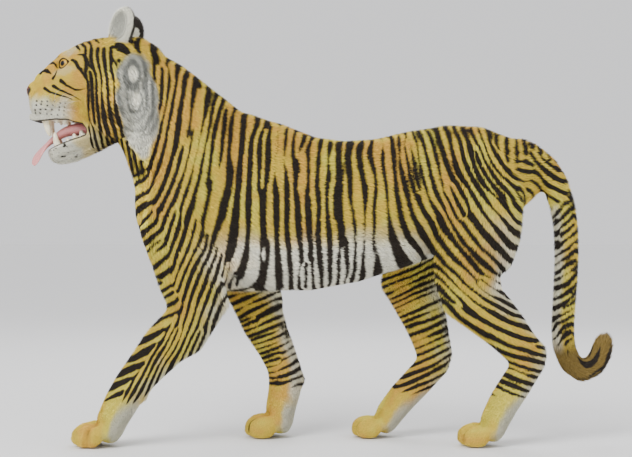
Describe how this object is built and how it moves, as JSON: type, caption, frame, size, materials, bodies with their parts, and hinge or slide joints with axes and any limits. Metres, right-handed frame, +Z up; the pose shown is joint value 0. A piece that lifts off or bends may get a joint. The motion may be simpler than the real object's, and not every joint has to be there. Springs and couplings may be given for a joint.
{
  "type": "bengal tiger",
  "caption": "Life-size standing adult Bengal tiger in mid stride with raised head, open mouth and lolling tongue, parted into head, neck, trunk, tail, legs, ears, eyes, teeth and tongue.",
  "frame": {"origin": "centre of the bounding box's bottom face, on the floor between the four paws", "axes": "+Z up, head towards -Y, tail towards +Y, the animal's left side towards +X"},
  "size_m": [0.3852, 1.766, 1.2853],
  "materials": {
    "coat": "short dense orange-ochre fur with black stripes",
    "pale_coat": "short pale golden and white fur",
    "eye": "wet gloss, yellow iris",
    "tooth": "ivory enamel on pink gum",
    "tongue": "moist pink, rough with papillae"
  },
  "bodies": {
    "root": {"head": "coat", "ear_left": "coat", "ear_right": "coat", "neck": "coat", "trunk": "coat", "tail_base": "coat", "tail_middle": "coat", "tail_tip": "coat", "foreleg_left_upper": "coat", "foreleg_left_lower": "coat", "foreleg_right_upper": "coat", "foreleg_right_lower": "coat", "hindleg_left_upper": "coat", "hindleg_left_lower": "coat", "hindleg_right_upper": "coat", "hindleg_right_lower": "coat", "lower_jaw": "pale_coat", "foreleg_left_paw": "pale_coat", "foreleg_right_paw": "pale_coat", "hindleg_left_paw": "pale_coat", "hindleg_right_paw": "pale_coat", "eye_left": "eye", "eye_right": "eye", "upper_teeth": "tooth", "lower_teeth": "tooth", "tongue": "tongue"}
  },
  "joints": []
}
